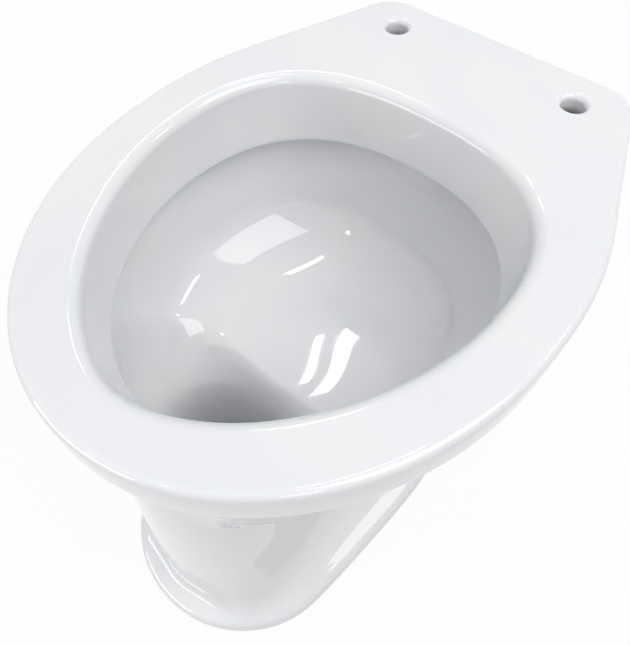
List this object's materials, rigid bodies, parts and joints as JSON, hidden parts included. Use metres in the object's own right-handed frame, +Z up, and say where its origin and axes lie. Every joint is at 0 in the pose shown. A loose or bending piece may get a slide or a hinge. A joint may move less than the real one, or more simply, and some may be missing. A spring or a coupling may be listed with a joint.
{
  "type": "floor-standing toilet pan",
  "caption": "White glazed floor-standing toilet pan with an egg-shaped open rim, a shelf bowl, a waisted pedestal on a flared foot, a rear outlet and a rear flush inlet.",
  "frame": {"origin": "on the floor, under the middle of the rim", "axes": "+Z up from the floor, -Y towards the round front, +Y towards the wall, outlet and flush inlet"},
  "size_m": [0.357, 0.461, 0.395],
  "materials": {
    "glazed_china": "glossy white glaze",
    "black_rubber": "dull",
    "natural_nylon": "satin",
    "washer_steel": "plain zinc-plated",
    "cap_plastic": "glossy white"
  },
  "bodies": {
    "pan": {"rim_ring": "glazed_china", "bowl_basin": "glazed_china", "sump_well": "glazed_china", "trapway": "glazed_china", "outlet_spigot": "glazed_china", "flush_chamber": "glazed_china", "flush_inlet": "glazed_china", "pedestal_shell": "glazed_china", "foot_ring": "glazed_china", "inlet_seal": "black_rubber", "fixing_sleeve_left": "natural_nylon", "fixing_sleeve_right": "natural_nylon", "fixing_washer_left": "washer_steel", "fixing_washer_right": "washer_steel"},
    "cap_left": {"cover_cap_left": "cap_plastic"},
    "cap_right": {"cover_cap_right": "cap_plastic"}
  },
  "joints": [
    {"name": "cap_lift_left", "type": "slide", "parent": "pan", "child": "cap_left", "axis": [0, 0, 1], "range_m": [0, 0.05]},
    {"name": "cap_lift_right", "type": "slide", "parent": "pan", "child": "cap_right", "axis": [0, 0, 1], "range_m": [0, 0.05]}
  ]
}
